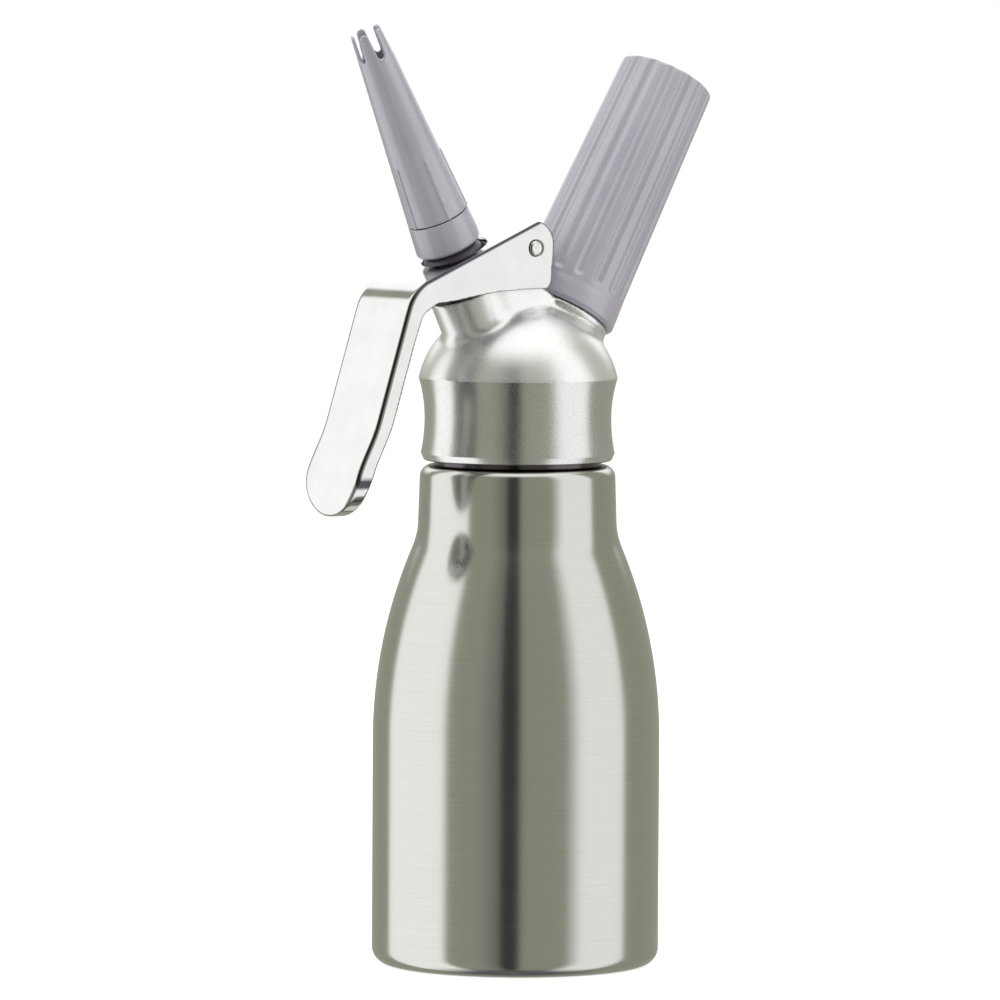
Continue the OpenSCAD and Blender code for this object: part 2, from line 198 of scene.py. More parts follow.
class Chart:
    """signed distance to a closed outline, worked out once on a fine grid and then looked up"""

    def __init__(self, line, low, high, pitch=0.12):
        self.low, self.pitch = np.array(low, float), pitch
        self.size = np.ceil((np.array(high) - self.low) / pitch).astype(int) + 1
        u, v = np.meshgrid(np.arange(self.size[0]), np.arange(self.size[1]), indexing="ij")
        spots = np.stack([u.ravel(), v.ravel()], 1) * pitch + self.low
        self.grid = outline_distance(spots, line).reshape(self.size)

    def __call__(self, u, v):
        a = np.clip((u - self.low[0]) / self.pitch, 0, self.size[0] - 1.001)
        b = np.clip((v - self.low[1]) / self.pitch, 0, self.size[1] - 1.001)
        i, j = a.astype(int), b.astype(int)
        a, b = a - i, b - j
        g = self.grid
        return ((1 - a) * ((1 - b) * g[i, j] + b * g[i, j + 1])
                + a * ((1 - b) * g[i + 1, j] + b * g[i + 1, j + 1]))


def local(points, place):
    """points brought into a leaning frame"""
    inverse = place.inverted()
    return points @ np.array(inverse.to_3x3()).T + np.array(inverse.translation)


def rounded_both(a, b, r):
    """inside both a and b, their shared edge rounded by r"""
    return np.minimum(np.maximum(a, b) + r, 0) + np.hypot(np.maximum(a + r, 0), np.maximum(b + r, 0)) - r


def melted(a, b, r):
    """either of a and b, with a fillet of about r where they meet"""
    h = np.maximum(r - np.abs(a - b), 0) / r
    return np.minimum(a, b) - h * h * r / 4


def cylinder_field(points, place, radius, low, high, edge):
    """a round rod in a leaning frame, with softened edges"""
    p = local(points, place)
    side = np.hypot(p[:, 0], p[:, 1]) - radius
    ends = np.maximum(low - p[:, 2], p[:, 2] - high)
    return rounded_both(side, ends, edge)


def skin(name, field, low, high, pitch, place=UPRIGHT):
    """closed mesh of the surface where a distance field is zero, its points set exactly on it"""
    low, high = np.array(low, float), np.array(high, float)
    n = np.ceil((high - low) / pitch).astype(int) + 1
    coarse = 4
    blocks = np.ceil(n / coarse).astype(int)
    centres = np.stack(np.meshgrid(*[np.arange(b) for b in blocks], indexing="ij"), -1).reshape(-1, 3)
    middle = low + (centres + 0.5) * coarse * pitch
    near = np.abs(field(middle)) < coarse * pitch * 1.25
    values = np.ones(tuple(blocks * coarse + 1))
    far = np.where(field(middle) > 0, 1.0, -1.0).reshape(blocks)
    for axis in range(3):
        far = np.repeat(far, coarse, axis)
    values[:-1, :-1, :-1] = far
    step = np.stack(np.meshgrid(*[np.arange(coarse + 1)] * 3, indexing="ij"), -1).reshape(-1, 3)
    chosen = (centres[near][:, None, :] * coarse + step[None]).reshape(-1, 3)
    chosen = np.unique(chosen, axis=0)
    for part in np.array_split(chosen, max(1, len(chosen) // 200000)):
        values[part[:, 0], part[:, 1], part[:, 2]] = field(low + part * pitch)

    solid = values < 0
    nx, ny, nz = solid.shape
    cells = np.zeros((nx - 1, ny - 1, nz - 1, 3))
    count = np.zeros((nx - 1, ny - 1, nz - 1))
    corner = lambda grid, i, j, k: grid[i:nx - 1 + i, j:ny - 1 + j, k:nz - 1 + k]
    for axis in range(3):
        for u in (0, 1):
            for v in (0, 1):
                start = [0, 0, 0]
                start[(axis + 1) % 3], start[(axis + 2) % 3] = u, v
                end = list(start)
                end[axis] = 1
                a, b = corner(values, *start), corner(values, *end)
                cut = (a < 0) != (b < 0)
                t = np.where(cut, a / np.where(cut, a - b, 1), 0)
                for d in range(3):
                    cells[..., d] += cut * (start[d] + (t if d == axis else 0))
                count += cut
    used = count > 0
    index = np.full(used.shape, -1)
    index[used] = np.arange(used.sum())
    where = np.argwhere(used)
    points = low + (where + cells[used] / count[used][:, None]) * pitch
    faces = []
    for axis in range(3):
        u, v = (axis + 1) % 3, (axis + 2) % 3
        cut = np.argwhere(np.diff(solid.astype(np.int8), axis=axis) != 0)
        cut = cut[(cut[:, u] > 0) & (cut[:, v] > 0) & (cut[:, u] < used.shape[u]) & (cut[:, v] < used.shape[v])]
        ring = []
        for du, dv in ((1, 1), (0, 1), (0, 0), (1, 0)):
            cell = cut.copy()
            cell[:, u] -= du
            cell[:, v] -= dv
            ring.append(index[cell[:, 0], cell[:, 1], cell[:, 2]])
        faces.append(np.stack(ring, 1))
    faces = np.concatenate(faces)
    for _ in range(3):
        value = field(points)
        slope = np.stack([field(points + d) - field(points - d) for d in np.eye(3) * 0.01], 1) / 0.02
        size = np.maximum((slope ** 2).sum(1), 0.05)
        move = -(value / size)[:, None] * slope
        points = points + np.clip(move, -0.3 * pitch, 0.3 * pitch)
    return mesh_piece(name, points, faces.tolist(), place)


# ---- camera ----

AZIMUTH, ROLL = math.radians(-36), math.radians(0.33)
DISTANCE, SIDE_STEP, EYE_Z, AIM_Z = 2500, -5.1, 297.7, 135.9
SENSOR, LENS = 36, 308.4
to_eye = Vector((math.sin(AZIMUTH), -math.cos(AZIMUTH), 0))
to_right = Vector((math.cos(AZIMUTH), math.sin(AZIMUTH), 0))
eye = (to_eye * DISTANCE + to_right * SIDE_STEP + Vector((0, 0, EYE_Z))) * MM
aim = (to_right * SIDE_STEP + Vector((0, 0, AIM_Z))) * MM
camera_data = bpy.data.cameras.new("camera")
camera_data.sensor_width, camera_data.lens = SENSOR, LENS
camera_data.clip_start, camera_data.clip_end = 0.05, 50
camera = bpy.data.objects.new("camera", camera_data)
bpy.context.scene.collection.objects.link(camera)
facing = (aim - eye).to_track_quat("-Z", "Y").to_matrix().to_4x4()
camera.matrix_world = Matrix.Translation(eye) @ facing @ Matrix.Rotation(ROLL, 4, "Z")
bpy.context.scene.camera = camera


# ---- finishes ----

class Value:
    """a node's socket that can be used in sums"""

    def __init__(self, finish, socket):
        self.finish, self.socket = finish, socket

    def sum(self, operation, *values):
        return self.finish.node("ShaderNodeMath", {"operation": operation}, dict(enumerate(values)))

    def __add__(self, other):
        return self.sum("ADD", self, other)

    def __radd__(self, other):
        return self.sum("ADD", other, self)

    def __sub__(self, other):
        return self.sum("SUBTRACT", self, other)

    def __rsub__(self, other):
        return self.sum("SUBTRACT", other, self)

    def __mul__(self, other):
        return self.sum("MULTIPLY", self, other)

    def __rmul__(self, other):
        return self.sum("MULTIPLY", other, self)

    def __truediv__(self, other):
        return self.sum("DIVIDE", self, other)

    def __rtruediv__(self, other):
        return self.sum("DIVIDE", other, self)

    def __pow__(self, other):
        return self.sum("POWER", self, other)


class Finish:
    """a node tree: of a new material, or one that is given"""

    def __init__(self, name, tree=None):
        if tree is None:
            self.material = bpy.data.materials.new(name)
            self.material.use_nodes = True
            tree = self.material.node_tree
        self.tree = tree
        tree.nodes.clear()

    def node(self, kind, settings=None, inputs=None, output=0):
        """adds a node: its settings are set first, then the values or links of its sockets"""
        made = self.tree.nodes.new(kind)
        for key, setting in (settings or {}).items():
            setattr(made, key, setting)
        for key, value in (inputs or {}).items():
            if isinstance(value, Value):
                self.tree.links.new(value.socket, made.inputs[key])
            else:
                made.inputs[key].default_value = value
        return Value(self, made.outputs[output]) if len(made.outputs) else made

    def place(self, scale=(1, 1, 1)):
        """Object coordinates in millimetres, stretched by a scale"""
        here = self.node("ShaderNodeTexCoord", output="Object")
        return self.node("ShaderNodeVectorMath", {"operation": "MULTIPLY"},
                         {0: here, 1: tuple(s / MM for s in scale)})

    def along(self, axis):
        """one of the Object coordinates, in millimetres"""
        split = self.node("ShaderNodeSeparateXYZ", None, {0: self.place()})
        return Value(self, split.socket.node.outputs[axis])

    def height(self):
        return self.along("Z")

    def noise(self, scale=(1, 1, 1), detail=3.0, rough=0.5):
        return self.node("ShaderNodeTexNoise", {"noise_dimensions": "3D"},
                         {"Vector": self.place(scale), "Scale": 1.0, "Detail": detail, "Roughness": rough})

    def spread(self, value, low, high, to_low=0.0, to_high=1.0):
        """a value's range, mapped and held to another"""
        return self.node("ShaderNodeMapRange", {"clamp": True},
                         {0: value, 1: low, 2: high, 3: to_low, 4: to_high})

    def mixed(self, first, second, share):
        return self.node("ShaderNodeMix", {"data_type": "RGBA"}, {0: share, 6: first, 7: second}, output=2)

    def bump(self, height, strength, distance):
        return self.node("ShaderNodeBump", None,
                         {"Height": height, "Strength": strength, "Distance": distance * MM})

    def surface(self, **sockets):
        """ends the tree in a Principled surface, its sockets named with underscores for spaces"""
        inputs = {key.replace("_", " "): value for key, value in sockets.items()}
        shader = self.node("ShaderNodeBsdfPrincipled", None, inputs)
        self.node("ShaderNodeOutputMaterial", None, {"Surface": shader})
        return self.material


def grey(r, g=None, b=None):
    """a colour with full alpha"""
    return (r, r if g is None else g, r if b is None else b, 1.0)


# heights of the painted shade on the bottle's rim under the head's ring
RIM_PAINTED_SHADE = (145.3, 146.1)
# distances from the middle plane of the painted shade along the lever's folds
FOLD_PAINTED_SHADE = (12.3, 12.7, 13.2, 13.42)


def brushed_steel():
    f = Finish("brushed_steel")
    streaks = f.noise((0.04, 0.04, 5.0), 4, 0.6)
    broad = f.noise((0.03, 0.03, 0.04), 2, 0.5)
    tint = f.mixed(grey(0.54, 0.54, 0.51), grey(0.58, 0.58, 0.55), f.spread(streaks, 0.3, 0.7))
    # painted shade: from 145.3 to 146.1 mm up, the steel fades to near black and stays dark above that, standing in
    # for the shade in the gap under the head's ring; it also darkens the whole neck
    tint = f.mixed(tint, grey(0.10, 0.09, 0.10), f.spread(f.height(), *RIM_PAINTED_SHADE))
    rough = f.spread(streaks, 0.3, 0.7, 0.15, 0.18) + f.spread(broad, 0.35, 0.65, -0.01, 0.01)
    return f.surface(Base_Color=tint, Metallic=1.0, Roughness=rough,
                     Normal=f.bump(streaks, 0.05, 0.004))


def satin_cast():
    f = Finish("satin_cast")
    grain = f.noise((3.2, 3.2, 3.2), 3, 0.6)
    broad = f.noise((0.05, 0.05, 0.05), 2, 0.5)
    dome = f.spread(f.height(), CREASE_Z - 0.2, CREASE_Z)
    ring_tint = f.mixed(grey(0.60, 0.597, 0.59), grey(0.74, 0.736, 0.728), f.spread(grain, 0.35, 0.65))
    dome_tint = f.mixed(grey(0.74, 0.737, 0.73), grey(0.87, 0.866, 0.858), f.spread(grain, 0.35, 0.65))
    rough = f.spread(grain, 0.3, 0.7, 0.19, 0.26) + dome * 0.08 + f.spread(broad, 0.35, 0.65, -0.02, 0.02)
    return f.surface(Base_Color=f.mixed(ring_tint, dome_tint, dome), Metallic=1 - dome * 0.15, Roughness=rough,
                     Normal=f.bump(grain, 0.35, 0.03))


def polished_chrome():
    f = Finish("polished_chrome")
    smear = f.noise((0.12, 0.12, 0.12), 3, 0.55)
    fine = f.noise((2.2, 0.25, 0.6), 3, 0.6)
    tint = f.mixed(grey(0.64, 0.64, 0.64), grey(0.68, 0.68, 0.68), f.spread(smear, 0.35, 0.65))
    side = f.along("Y").sum("ABSOLUTE", f.along("Y"))
    # painted shade: a near-black line 12.3 to 13.42 mm either side of the middle plane, standing in for the shade
    # along the lever's folds
    painted_fold_shade = f.spread(side, *FOLD_PAINTED_SHADE[:2]) * (1 - f.spread(side, *FOLD_PAINTED_SHADE[2:]))
    tint = f.mixed(tint, grey(0.07, 0.07, 0.08), painted_fold_shade)
    rough = f.spread(smear, 0.35, 0.65, 0.05, 0.11)
    return f.surface(Base_Color=tint, Metallic=1.0, Roughness=rough, Normal=f.bump(fine, 0.02, 0.01))


def turned_bright():
    f = Finish("turned_bright")
    rings = f.noise((0.8, 0.8, 0.8), 4, 0.6)
    tint = f.mixed(grey(0.58, 0.58, 0.56), grey(0.72, 0.72, 0.70), f.spread(rings, 0.35, 0.65))
    return f.surface(Base_Color=tint, Metallic=1.0, Roughness=f.spread(rings, 0.3, 0.7, 0.16, 0.3),
                     Normal=f.bump(rings, 0.2, 0.02))


def plain_turned(name, dark, light):
    f = Finish(name)
    lines = f.noise((0.15, 0.15, 4.0), 4, 0.6)
    tint = f.mixed(dark, light, f.spread(lines, 0.35, 0.65))
    return f.surface(Base_Color=tint, Metallic=1.0, Roughness=f.spread(lines, 0.3, 0.7, 0.25, 0.4),
                     Normal=f.bump(lines, 0.3, 0.015))


def moulded(name, dark, light, rough_low, rough_high, gloss=0.5, film=0.0):
    f = Finish(name)
    broad = f.noise((0.04, 0.04, 0.04), 3, 0.5)
    grain = f.noise((4.0, 4.0, 4.0), 2, 0.5)
    tint = f.mixed(dark, light, f.spread(broad, 0.35, 0.65))
    rough = f.spread(grain, 0.3, 0.7, rough_low, rough_high)
    return f.surface(Base_Color=tint, Roughness=rough, Specular_IOR_Level=gloss, Coat_Weight=film,
                     Coat_Roughness=0.16, Normal=f.bump(grain, 0.08, 0.02))


FINISHES = {
    "steel": brushed_steel(),
    "cast_aluminium": satin_cast(),
    "chrome": polished_chrome(),
    "bright_steel": turned_bright(),
    "liner_steel": plain_turned("plain_turned_liner", grey(0.5), grey(0.62)),
    "charger_steel": plain_turned("drawn_charger", grey(0.5, 0.5, 0.48), grey(0.66, 0.66, 0.64)),
    "lilac_plastic": moulded("lilac_plastic", grey(0.340, 0.318, 0.368), grey(0.378, 0.355, 0.402), 0.24, 0.32,
                             gloss=0.9, film=0.7),
    "dark_plastic": moulded("dark_plastic", grey(0.062, 0.050, 0.072), grey(0.080, 0.066, 0.090), 0.34, 0.44),
    "brass": plain_turned("turned_brass", grey(0.56, 0.41, 0.17), grey(0.66, 0.50, 0.24)),
    "silicone": moulded("silicone", grey(0.70, 0.69, 0.65), grey(0.76, 0.75, 0.71), 0.5, 0.62),
    "nylon": moulded("nylon", grey(0.68, 0.67, 0.63), grey(0.76, 0.75, 0.71), 0.42, 0.55),
    "dark_rubber": moulded("dark_rubber", grey(0.03), grey(0.045), 0.55, 0.7),
}
SLOT_OF = {row["node"]: row["material_slot"] for row in frame["record"]["subparts"]}
BODY_OF = {node: body for body, nodes in frame["record"]["behaviour"]["bodies"].items() for node in nodes}


def dress(piece, node):
    """lets a piece ride on a CAD node's body and take its finish"""
    piece.data.materials.clear()
    piece.data.materials.append(FINISHES[SLOT_OF[node]])
    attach(piece, BODY_OF[node])
    return piece


def grown(node, start, sizes, rule):
    """points and faces that a geometry tree makes from a start mesh and its named sizes, in millimetres"""
    tree = bpy.data.node_groups.new(node + "_rule", "GeometryNodeTree")
    for way in ("INPUT", "OUTPUT"):
        tree.interface.new_socket("Shape", in_out=way, socket_type="NodeSocketGeometry")
    for size in sizes:
        tree.interface.new_socket(size, in_out="INPUT", socket_type="NodeSocketFloat")
    f = Finish(node, tree)
    inside = f.node("NodeGroupInput").socket.node
    given = {socket.name: Value(f, socket) for socket in inside.outputs if socket.name}
    shape = f.node("GeometryNodeRealizeInstances", None, {0: rule(f, given)})
    shape = f.node("GeometryNodeSetMaterial", None, {"Geometry": shape, "Material": FINISHES[SLOT_OF[node]]})
    f.node("NodeGroupOutput", None, {0: shape})
    mesh = bpy.data.meshes.new(node + "_blank")
    mesh.from_pydata(start[0], [], start[1])
    blank = bpy.data.objects.new(node + "_blank", mesh)
    bpy.context.scene.collection.objects.link(blank)
    modifier = blank.modifiers.new(node, "NODES")
    modifier.node_group = tree
    for socket in tree.interface.items_tree:
        if socket.name in sizes:
            modifier[socket.identifier] = float(sizes[socket.name])
    plain = bpy.data.meshes.new_from_object(blank.evaluated_get(bpy.context.evaluated_depsgraph_get()))
    points = [tuple(corner.co) for corner in plain.vertices]
    faces = [tuple(face.vertices) for face in plain.polygons]
    blank.modifiers.clear()
    bpy.data.objects.remove(blank)
    bpy.data.meshes.remove(plain)
    return points, faces


for node, cad in frame["nodes"].items():
    cad.data.materials.clear()
    cad.data.materials.append(FINISHES[SLOT_OF[node]])


# ---- head: a turned ring, and a cast dome with its saddle and two bosses ----

def ring_side():
    """outer side of the ring: a waist between its lower lip and the crease under the dome"""
    low = [(WAIST_R + 1.05 * t * t, WAIST_Z - 10.2 * t) for t in np.linspace(1, 0, 12)]
    flare, rise = CREASE_R - WAIST_R, CREASE_Z - WAIST_Z
    high = [(WAIST_R + flare * t * t, WAIST_Z + rise * t) for t in np.linspace(0, 1, 14)[1:]]
    return low + high


def head_ring():
    """the turned ring, closed across its top inside the dome"""
    lip = softened([(24.9, RING_Z + 0.4, 0), (25.3, RING_Z, 0.2), (WAIST_R - 0.2, RING_Z, 0.35),
                    (WAIST_R + 0.25, RING_Z + 0.35, 0.3), (28.3, RING_Z + 2.1, 0.35), (28.2, 151.5, 0)])[:-1]
    inner = [(0, CREASE_Z - 0.3), (0, 168.4), (21, 168.4), (21, 166), (24.9, 166)]
    profile = [tuple(p) for p in lip] + ring_side() + [(CREASE_R - 0.4, CREASE_Z + 0.02)] + inner
    return turned("head_ring", profile, 192, sharp=32)


SADDLE_HALF, EAR_R, CAST_FLOOR = 10.4, 4.2, 169.6
BOSS_R, BOSS_TOP, RECESS_R, RECESS_Z = 11.2, -12.6, 10, -15.6
BORE_R, BORE_Z, CREAM_R = 6.8, -22.2, 5
PORT_R, FLANGE_R, SOCKET_R = 13.6, 14.8, 8.03
SADDLE = np.array([[-21, 178], [-15.4, 188], [-18.9, 197.9], [-10.4, 201.8], [-7.6, 208], [0.5, 208],
                   [0.9, 199], [3, 197.4], [24, 184], [20, 176]], float)
SADDLE_CHART = Chart(SADDLE, (-34, 166), (35, 219))


def head_field(points):
    """the cast dome with its saddle, valve boss and charger port, and the ways bored into it"""
    x, y, z = points.T
    drop = np.maximum(CREASE_Z - z, 0)
    around = np.hypot(x, y)
    up = np.maximum(z - CREASE_Z, 0) + DOME_SINK
    k0 = np.hypot(around / DOME_WIDE, up / DOME_TALL)
    k1 = np.hypot(around / DOME_WIDE ** 2, up / DOME_TALL ** 2)
    dome = k0 * (k0 - 1) / k1
    skirt = around - (CREASE_R - 0.45 * drop)
    dome = np.where(z > CREASE_Z, dome, skirt)
    dome = np.maximum(dome, 169.5 - z)
    flat = SADDLE_CHART(x, z)
    ear = np.hypot(x - PIN[0], z - PIN[1]) - EAR_R
    saddle = rounded_both(melted(flat, ear, 1.0), np.abs(y) - SADDLE_HALF, 0.5)
    boss = cylinder_field(points, VALVE, BOSS_R, -40, BOSS_TOP, 0.35)
    port = cylinder_field(points, PORT, PORT_R, -16, -0.6, 0.4)
    flange = cylinder_field(points, PORT, FLANGE_R, -1.7, -0.1, 0.35)
    body = melted(dome, melted(boss, saddle, 1.6), 2.2)
    body = melted(body, port, 1.8)
    body = np.minimum(body, flange)
    body = np.maximum(body, local(points, PORT)[:, 2] + 0.1)
    recess = cylinder_field(points, VALVE, RECESS_R, RECESS_Z, 4, 0.2)
    bore = cylinder_field(points, VALVE, BORE_R, BORE_Z, 4, 0.2)
    cream_way = cylinder_field(points, VALVE, CREAM_R, -60, 0, 0.1)
    socket = cylinder_field(points, PORT, SOCKET_R, -12, 4, 0.1)
    for hole in (recess, bore, cream_way, socket):
        body = rounded_both(body, -hole, 0.25)
    return np.maximum(body, CAST_FLOOR - z)


dress(head_ring(), "head")
dome = dress(skin("head_dome", head_field, (-32, -32, 168.5), (33, 32, 217), 0.55), "head")
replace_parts(dome, "head")


# ---- lever: sheet folded to a channel ----

LEVER_HALF, SHEET, FLANGE = 13.5, 1.7, 5.6
OUTER_FOLD, INNER_FOLD = 1.5, 1.1
SLOPE, BEND_R = 23, 12  # the top plate's slope in degrees
PLATE_WAY = np.array([math.cos(math.radians(SLOPE)), math.sin(math.radians(SLOPE))])
BEND_START = np.array([-42.0, 201])
HANDLE_START = np.array([-48.7, 193.9])
HANDLE_LEAN, KICK, KICK_Z, KICK_SPAN, TIP_Z = 0.321, 2.1, 145, 16, 133.4
SLOT_R, SLOT_SHIFT = 9.3, 1.75


def handle_x(z):
    """the handle's outer face at a height: a straight lean with a kick near its end"""
    t = np.minimum(1, np.abs(z - KICK_Z) / KICK_SPAN)
    return HANDLE_START[0] - HANDLE_LEAN * (HANDLE_START[1] - z) - KICK * (1 + np.cos(math.pi * t)) / 2


def lever_outlines():
    """the sheet's outer line from its rear end to the tip, and the closed side outline"""
    centre = BEND_START + BEND_R * np.array([PLATE_WAY[1], -PLATE_WAY[0]])
    turn = 90 - SLOPE - math.degrees(math.atan(HANDLE_LEAN))
    top = [[-2.0, 218.0]]
    bend = arc(*centre, BEND_R, 90 + SLOPE, 90 + SLOPE + turn, 14)
    heights = np.linspace(191.5, TIP_Z - 0.6, 30)
    handle = np.stack([handle_x(heights), heights], 1)
    outer = np.concatenate([top, bend, handle])
    lower = heights[heights < 184][::-1]
    flange = np.stack([handle_x(lower) + FLANGE, lower], 1)
    under = softened([(flange[-1][0], flange[-1][1], 0), (-43.4, 191.6, 5), (-38.5, 194.6, 4),
                      (-32.3, 195.2, 12), (-24.2, 196.6, 12), (-16, 197.7, 12), (-7.5, 198.1, 10),
                      (1.0, 198.3, 1.2), (2.1, 200.2, 1.2), (3.0, 211, 0)], 4)
    ear = arc(-4.1, 211, 7.1, 0, 73, 10)
    return outer, np.concatenate([outer, flange, under[1:-1], ear])


LEVER_TOP, LEVER_SIDE = lever_outlines()
LEVER_FAR = np.concatenate([[LEVER_TOP[0] + 60 * PLATE_WAY], LEVER_TOP,
                            [[handle_x(TIP_Z) - 12, TIP_Z - 40], [60, TIP_Z - 40]]])
LEVER_SPACE = ((-78, 130), (9, 223))
SHEET_CHART = Chart(LEVER_FAR, *LEVER_SPACE)
EDGE_CHART = Chart(LEVER_SIDE, *LEVER_SPACE)


def lever_field(points):
    """sheet folded down on both sides and round its tip, with the tip's slot and the pin's holes"""
    x, y, z = points.T
    sheet = SHEET_CHART(x, z)
    low = np.minimum(z - (TIP_Z + LEVER_HALF), 0)
    wide = np.hypot(y, low) - LEVER_HALF
    outer = rounded_both(sheet, wide, OUTER_FOLD)
    inner = rounded_both(sheet + SHEET, wide + SHEET, INNER_FOLD)
    edge = EDGE_CHART(x, z)
    body = rounded_both(outer, edge, 0.25)
    body = rounded_both(body, -inner, 0.25)
    p = local(points, VALVE)
    along = np.clip(p[:, 0], 0, SLOT_SHIFT)
    slot = np.maximum(np.hypot(p[:, 0] - along, p[:, 1]) - SLOT_R, np.abs(p[:, 2]) - 9)
    pin = np.maximum(np.hypot(x - PIN[0], z - PIN[1]) - (PIN_R + 0.12), 9 - np.abs(y))
    body = rounded_both(body, -slot, 0.3)
    return rounded_both(body, -pin, 0.25)


lever = dress(skin("lever_sheet", lever_field, (-75, -14.5, 132), (6, 14.5, 220.5), 0.5), "lever")
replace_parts(lever, "lever")


PIN_HALF = 13.9
lever_pin_profile = softened([(0, -PIN_HALF, 0), (PIN_R - 0.5, -PIN_HALF, 0.3), (PIN_R, -13.5, 0.3), (PIN_R, 0, 0)])
lever_pin_profile = np.concatenate([lever_pin_profile, lever_pin_profile[::-1] * (1, -1)])
pin_place = Matrix.Translation((PIN[0], 0, PIN[1])) @ Matrix.Rotation(math.radians(90), 4, "X")
pin = dress(turned("lever_pin", lever_pin_profile, 64, pin_place, sharp=40), "lever_pin")
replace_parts(pin, "lever_pin")


# ---- bottle ----

BOTTLE_R, FOOT_R, WALL = 42, 4.8, 1.0
BODY_ARC, ARC_LOW, ARC_HIGH = 145, 66, 122
THROAT_R, SHOULDER_R, SHOULDER_Z, SHOULDER_EDGE = 29, 28.6, 146.4, 3.6
NECK_R, NECK_BORE, NECK_TOP = 24.4, 23.0, 164
THREAD_R, THREAD_Z, THREAD_PITCH, THREAD_TURNS = 24.8, 151.2, 3.2, 3


def bottle_side(inset):
    """outer side of the bottle from its foot to its shoulder, drawn inward by an inset"""
    lean = math.degrees(math.asin((ARC_HIGH - ARC_LOW) / BODY_ARC))
    drawn_in = 1 - math.cos(math.radians(lean))
    neck_arc = (BOTTLE_R - BODY_ARC * drawn_in - THROAT_R) / drawn_in
    neck_z = ARC_HIGH + neck_arc * math.sin(math.radians(lean))
    return np.concatenate([
        arc(BOTTLE_R - FOOT_R, FOOT_R, FOOT_R - inset, -90, 0, 10),
        np.stack([np.full(5, float(BOTTLE_R) - inset), np.linspace(8, 62, 5)], 1),
        arc(BOTTLE_R - BODY_ARC, ARC_LOW, BODY_ARC - inset, 0, lean, 30),
        arc(THROAT_R + neck_arc, neck_z, neck_arc + inset, 180 + lean, 180, 14)[1:],
        arc(SHOULDER_R - SHOULDER_EDGE, SHOULDER_Z - SHOULDER_EDGE, SHOULDER_EDGE - inset, 0, 90, 10),
    ])


def bottle():
    """the drawn shell, open at its neck, with the thread as three ridges"""
    base = softened([(0, 0.9, 0), (32.5, 0.9, 2), (34.6, 0.0, 1), (37.1, 0.0, 0)])
    ridges = []
    for i in range(THREAD_TURNS):
        z = THREAD_Z + THREAD_PITCH * i
        ridges += [(NECK_R, z + 0.2), (THREAD_R, z + 0.8), (THREAD_R, z + 1.4), (NECK_R, z + 2.0)]
    lip = [(NECK_R, NECK_TOP - 0.4), (NECK_R - 0.3, NECK_TOP),
           (NECK_BORE + 0.3, NECK_TOP), (NECK_BORE, NECK_TOP - 0.4)]
    neck = [(NECK_R, SHOULDER_Z)] + ridges + lip + [(NECK_BORE, SHOULDER_Z - WALL)]
    inner = bottle_side(WALL)[::-1]
    profile = np.concatenate([base, bottle_side(0), neck, inner, [[33, 1.9], [0, 1.9]]])
    return turned("bottle_shell", profile, 256, sharp=45)


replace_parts(dress(bottle(), "bottle"), "bottle")


# ---- tip, its collar and the adapter ----

COLLAR_LOW, TIP_SEAT, COLLAR_H, STEP_H, TEETH_H, TIP_LEN = 1.1, 8.7, 10.9, 29.2, 62.3, 70.5
OUTER_R = (9.07, 7.72, 5.26, 4.65)
NOZZLE_LOW, NOZZLE_HIGH, NOZZLE_R, ROOM_R, ROOM_TOP_R, MOUTH_R = 12, 15, 2.6, 6.6, 4.4, 3.8
TEETH, TOOTH_TURN, TOOTH_R = 5, -66.6, 4.9
RIB_TURN, RIB_HALF, RIB_RISE = -103.2, 0.75, 0.35


def tip_collar():
    """the clamping collar under the tip's seam"""
    profile = softened([(6.1, TIP_SEAT, 0), (6.1, COLLAR_LOW, 0.3), (9.0, COLLAR_LOW, 1.2),
                        (9.76, COLLAR_LOW + 1, 1.0), (9.13, COLLAR_H - 0.02, 0.05), (8.9, COLLAR_H, 0.05),
                        (7.3, COLLAR_H, 0.1), (7.3, TIP_SEAT, 0.1), (6.1, TIP_SEAT, 0)])[:-1]
    return turned("tip_collar", profile, 128, VALVE, sharp=40)


def tip_field(points):
    """a tapering shell with raised ribs below its step and a toothed mouth"""
    x, y, s = points.T
    around = np.hypot(x, y)
    outer_r = np.interp(s, [COLLAR_H, STEP_H, TEETH_H, TIP_LEN], OUTER_R)
    inner_r = np.interp(s, [NOZZLE_LOW, NOZZLE_HIGH, STEP_H, TEETH_H, TIP_LEN],
                        [NOZZLE_R, ROOM_R, ROOM_R, ROOM_TOP_R, MOUTH_R])
    turn = np.degrees(np.arctan2(y, x))
    pitch = 360 / TEETH
    off = (turn - RIB_TURN + pitch / 2) % pitch - pitch / 2
    rise = np.clip((RIB_HALF - np.radians(np.abs(off)) * around) / 0.35, 0, 1)
    ribs = RIB_RISE * rise * rise * (3 - 2 * rise) * np.clip((STEP_H + 1 - s) / 0.6, 0, 1)
    wall = rounded_both((around - outer_r - ribs) * 0.99, (inner_r - around) * 0.96, 0.18)
    ends = np.maximum(8.75 - s, COLLAR_H - 0.25 - s - np.clip((7.2 - around) * 4, -0.5, 3))
    body = rounded_both(wall, ends, 0.15)
    off = (turn - TOOTH_TURN) % pitch - pitch / 2
    across = np.abs(np.radians(off) * TOOTH_R)
    half = np.interp(s, [TEETH_H, TEETH_H + 0.8, TIP_LEN + 1], [0.45, 1.1, 1.8])
    gap = np.maximum(across - half, (TEETH_H - s) * 0.8)
    teeth = rounded_both(-gap, s - TIP_LEN, 1.15)
    return rounded_both(body, teeth, 0.2)


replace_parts(dress(tip_collar(), "tip_collar"), "tip_collar")
tip = skin("decorating_tip", tip_field, (-9.9, -9.9, 8.2), (9.9, 9.9, 71.4), 0.36, VALVE)
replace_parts(dress(tip, "decorating_tip"), "decorating_tip")

